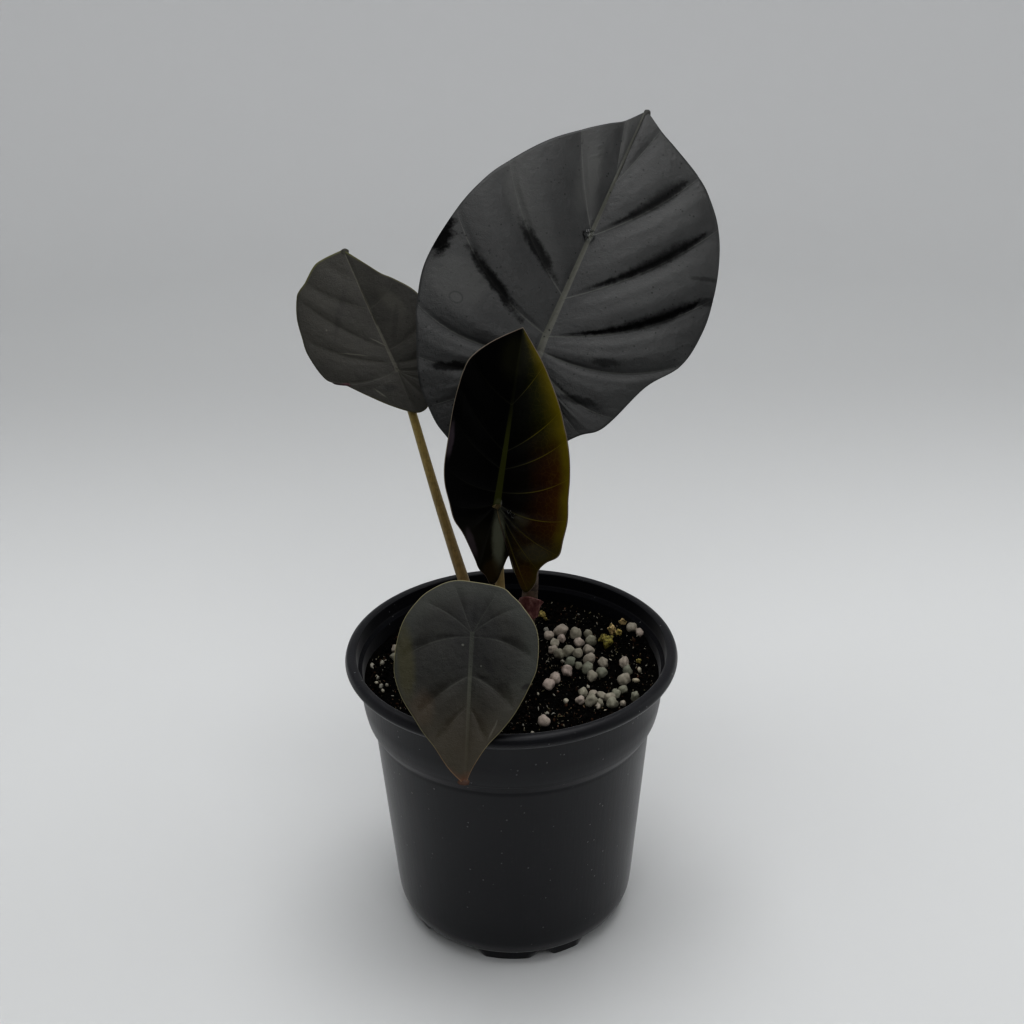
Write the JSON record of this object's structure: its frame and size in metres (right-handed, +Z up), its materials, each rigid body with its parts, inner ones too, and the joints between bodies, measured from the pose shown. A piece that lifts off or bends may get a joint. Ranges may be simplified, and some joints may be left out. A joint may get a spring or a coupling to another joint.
{
  "type": "potted alocasia",
  "caption": "Alocasia plant with dark, leathery, ribbed leaves on slim stalks, standing in a round black nursery pot of dark soil dotted with pale prills.",
  "frame": {"origin": "on the pot's axis, at the level that the pot's feet stand on", "axes": "+Z up, -Y towards the front of the plant, +X to the right seen from the front"},
  "size_m": [0.1345, 0.1253, 0.2587],
  "materials": {
    "pot_plastic": "satin black injection-moulded plastic",
    "soil": "matte, crumbly, moist",
    "stem_base": "matte, banded, brown",
    "petiole": "satin olive, mottled brown",
    "blade_dark": "leathery satin, near-black grey",
    "blade_brown": "leathery satin, brownish grey",
    "blade_young": "glossy near-black, olive and maroon where light comes through",
    "sheath": "dry, papery, maroon",
    "prill": "matte, pinkish white to greenish grey",
    "yellow_bits": "matte, yellow-green"
  },
  "bodies": {
    "root": {"pot": "pot_plastic", "soil": "soil", "stem_base": "stem_base", "petiole_big": "petiole", "petiole_left": "petiole", "petiole_front": "petiole", "petiole_low": "petiole", "blade_big": "blade_dark", "blade_left": "blade_brown", "blade_front": "blade_young", "blade_low": "blade_brown", "sheath": "sheath", "prills_middle": "prill", "prills_pair": "prill", "prills_right": "prill", "prills_front": "prill", "prills_back": "prill", "prills_left": "prill", "prill_rim": "prill", "prill_single": "prill", "yellow_bits": "yellow_bits"}
  },
  "joints": []
}
